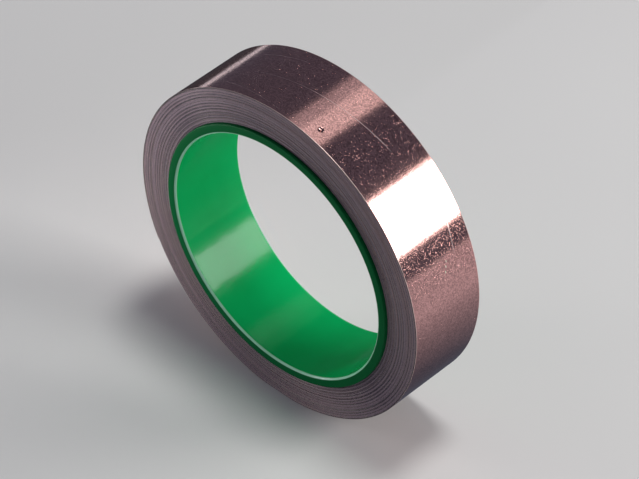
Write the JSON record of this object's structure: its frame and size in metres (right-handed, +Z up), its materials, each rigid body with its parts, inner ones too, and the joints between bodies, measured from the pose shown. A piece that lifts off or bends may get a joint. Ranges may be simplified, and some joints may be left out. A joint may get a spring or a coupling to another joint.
{
  "type": "copper foil tape roll",
  "caption": "Wide roll of adhesive-backed copper foil tape with release liner, wound on a round green plastic core, with a free end that peels.",
  "frame": {"origin": "centre of the core's bore, midway between the core's two end faces", "axes": "+Y along the bore, from the front face towards the back face; +Z up with the roll standing on its rim; +X to the right seen from the front"},
  "size_m": [0.1034, 0.0259, 0.103],
  "materials": {
    "core_plastic": "gloss",
    "copper_foil": "polished",
    "adhesive": "gloss",
    "liner": "satin",
    "wound_edges": "satin",
    "patch": "gloss"
  },
  "bodies": {
    "root": {"core": "core_plastic", "start_patch": "patch", "wound_turns": "wound_edges", "outer_turn_liner": "liner", "outer_turn_adhesive": "adhesive", "outer_turn_foil": "copper_foil"},
    "tape_end_1": {"liner_1": "liner", "adhesive_1": "adhesive", "foil_1": "copper_foil"},
    "tape_end_2": {"liner_2": "liner", "adhesive_2": "adhesive", "foil_2": "copper_foil"},
    "tape_end_3": {"liner_3": "liner", "adhesive_3": "adhesive", "foil_3": "copper_foil"},
    "tape_end_4": {"liner_4": "liner", "adhesive_4": "adhesive", "foil_4": "copper_foil"},
    "tape_end_5": {"liner_5": "liner", "adhesive_5": "adhesive", "foil_5": "copper_foil"},
    "tape_end_6": {"liner_6": "liner", "adhesive_6": "adhesive", "foil_6": "copper_foil"},
    "tape_end_7": {"liner_7": "liner", "adhesive_7": "adhesive", "foil_7": "copper_foil"},
    "tape_end_8": {"liner_8": "liner", "adhesive_8": "adhesive", "foil_8": "copper_foil", "liner_tip": "liner"},
    "foil_end": {"adhesive_tip": "adhesive", "foil_tip": "copper_foil"}
  },
  "joints": [
    {"name": "tape_peel", "type": "hinge", "parent": "root", "child": "tape_end_1", "pos_m": [-0.03886, 0, 0.03425], "axis": [0, 1, 0], "range_deg": [0, 12]},
    {"name": "tape_bend_2", "type": "hinge", "parent": "tape_end_1", "child": "tape_end_2", "pos_m": [-0.043, 0, 0.0289], "axis": [0, 1, 0], "range_deg": [0, 12]},
    {"name": "tape_bend_3", "type": "hinge", "parent": "tape_end_2", "child": "tape_end_3", "pos_m": [-0.04641, 0, 0.02305], "axis": [0, 1, 0], "range_deg": [0, 12]},
    {"name": "tape_bend_4", "type": "hinge", "parent": "tape_end_3", "child": "tape_end_4", "pos_m": [-0.04903, 0, 0.01681], "axis": [0, 1, 0], "range_deg": [0, 12]},
    {"name": "tape_bend_5", "type": "hinge", "parent": "tape_end_4", "child": "tape_end_5", "pos_m": [-0.05081, 0, 0.01028], "axis": [0, 1, 0], "range_deg": [0, 12]},
    {"name": "tape_bend_6", "type": "hinge", "parent": "tape_end_5", "child": "tape_end_6", "pos_m": [-0.05172, 0, 0.00357], "axis": [0, 1, 0], "range_deg": [0, 12]},
    {"name": "tape_bend_7", "type": "hinge", "parent": "tape_end_6", "child": "tape_end_7", "pos_m": [-0.05175, 0, -0.0032], "axis": [0, 1, 0], "range_deg": [0, 12]},
    {"name": "tape_bend_8", "type": "hinge", "parent": "tape_end_7", "child": "tape_end_8", "pos_m": [-0.0509, 0, -0.00992], "axis": [0, 1, 0], "range_deg": [0, 12]},
    {"name": "foil_split", "type": "hinge", "parent": "tape_end_8", "child": "foil_end", "pos_m": [-0.0492, 0, -0.01648], "axis": [0, 1, 0], "range_deg": [0, 35]}
  ],
  "couplings": [
    {"joint": "tape_bend_2", "follows": "tape_peel", "ratio": 1},
    {"joint": "tape_bend_3", "follows": "tape_peel", "ratio": 1},
    {"joint": "tape_bend_4", "follows": "tape_peel", "ratio": 1},
    {"joint": "tape_bend_5", "follows": "tape_peel", "ratio": 1},
    {"joint": "tape_bend_6", "follows": "tape_peel", "ratio": 1},
    {"joint": "tape_bend_7", "follows": "tape_peel", "ratio": 1},
    {"joint": "tape_bend_8", "follows": "tape_peel", "ratio": 1}
  ]
}
